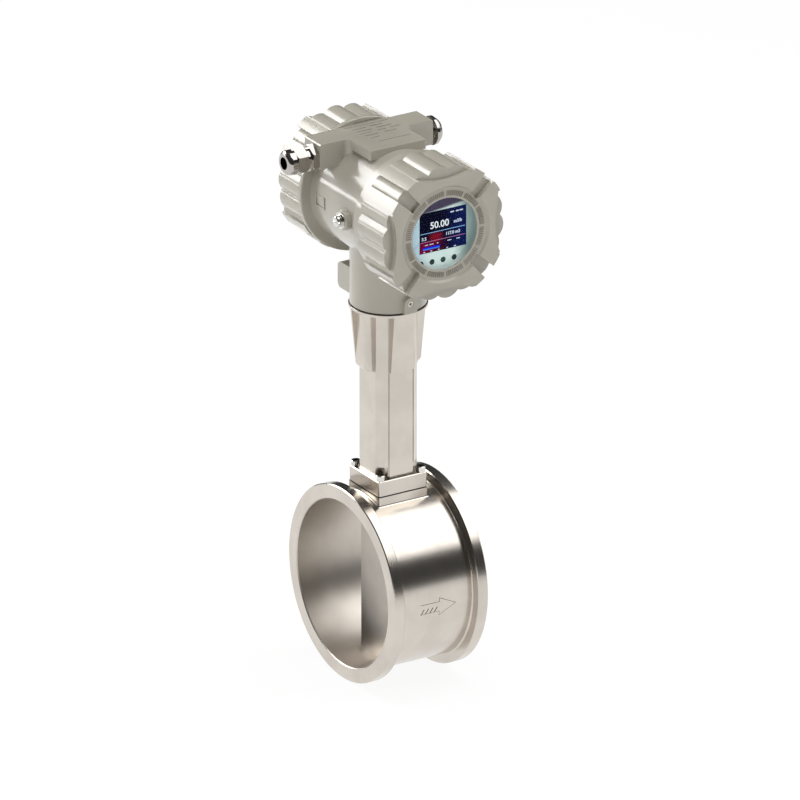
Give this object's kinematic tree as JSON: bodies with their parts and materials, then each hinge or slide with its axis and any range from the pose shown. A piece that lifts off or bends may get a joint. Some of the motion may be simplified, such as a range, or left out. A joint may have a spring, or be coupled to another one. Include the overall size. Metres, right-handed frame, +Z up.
{
  "type": "vortex flow meter",
  "caption": "Wafer vortex flow meter: short steel flow tube with a bluff bar, square column with a finned adapter, and a painted head with fluted screw covers and a display.",
  "frame": {"origin": "centre of the flow tube's inlet face, on the bore's axis", "axes": "+X along the bore, downstream; -Y the way the display looks; +Z up along the column"},
  "size_m": [0.1571, 0.1827, 0.4965],
  "materials": {
    "stainless_tube": "satin machined stainless steel",
    "stainless_column": "satin stainless steel",
    "stainless_inner": "machined stainless steel",
    "graphite_sheet": "matt graphite gasket sheet",
    "plated_screws": "bright plated steel",
    "housing_paint": "satin warm grey paint on cast aluminium",
    "seal_rubber": "black rubber",
    "window": "clear toughened glass",
    "window_ring": "bare aluminium",
    "foil": "pale blue printed foil",
    "screen": "dark glossy screen",
    "dark_plastic": "black moulded plastic",
    "board": "green circuit board",
    "terminal_plastic": "dark grey moulded plastic",
    "brass_parts": "bare brass",
    "gland_metal": "nickel-plated brass"
  },
  "bodies": {
    "meter": {"flow_tube": "stainless_tube", "shedder_bar": "stainless_inner", "sensor_probe": "stainless_inner", "flange_gasket": "graphite_sheet", "base_plate": "stainless_column", "base_screws": "plated_screws", "column_tube": "stainless_column", "neck_adapter": "stainless_column", "swivel_seal": "seal_rubber"},
    "head": {"housing": "housing_paint", "set_screw": "plated_screws", "ground_washers": "plated_screws", "ground_screw": "plated_screws", "display_overlay": "foil", "display_screen": "screen", "key_sensors": "dark_plastic", "display_housing": "dark_plastic", "board_posts": "brass_parts", "main_board": "board", "terminal_block": "terminal_plastic", "terminal_screws": "brass_parts", "gland_body": "gland_metal", "gland_seal": "seal_rubber", "blanking_plug": "gland_metal"},
    "front_seal": {"front_cover_ring": "seal_rubber"},
    "front_lid": {"front_cover": "housing_paint", "window_glass": "window", "window_gasket": "seal_rubber", "window_ring": "window_ring"},
    "rear_seal": {"rear_cover_ring": "seal_rubber"},
    "rear_lid": {"rear_cover": "housing_paint"},
    "gland_washer": {"gland_slip": "dark_plastic"},
    "gland_cap": {"gland_nut": "gland_metal"}
  },
  "joints": [
    {"name": "head_swivel", "type": "hinge", "parent": "meter", "child": "head", "pos_m": [0.047, 0, 0.2525], "axis": [0, 0, 1], "range_deg": [-175, 175]},
    {"name": "front_cover_advance", "type": "slide", "parent": "head", "child": "front_seal", "axis": [0, -1, 0], "range_m": [0, 0.012]},
    {"name": "front_cover_turn", "type": "hinge", "parent": "front_seal", "child": "front_lid", "pos_m": [0.047, -0.0476, 0.347], "axis": [0, -1, 0], "range_deg": [0, 2160]},
    {"name": "rear_cover_advance", "type": "slide", "parent": "head", "child": "rear_seal", "axis": [0, 1, 0], "range_m": [0, 0.012]},
    {"name": "rear_cover_turn", "type": "hinge", "parent": "rear_seal", "child": "rear_lid", "pos_m": [0.047, 0.0486, 0.347], "axis": [0, 1, 0], "range_deg": [0, 2160]},
    {"name": "gland_nut_advance", "type": "slide", "parent": "head", "child": "gland_washer", "axis": [-1, 0, 0], "range_m": [0, 0.0045]},
    {"name": "gland_nut_turn", "type": "hinge", "parent": "gland_washer", "child": "gland_cap", "pos_m": [-0.0203, 0.03, 0.388], "axis": [-1, 0, 0], "range_deg": [0, 1080]}
  ],
  "couplings": [
    {"joint": "front_cover_advance", "follows": "front_cover_turn", "m_per_rad": 0.0003183},
    {"joint": "rear_cover_advance", "follows": "rear_cover_turn", "m_per_rad": 0.0003183},
    {"joint": "gland_nut_advance", "follows": "gland_nut_turn", "m_per_rad": 0.0002387}
  ]
}
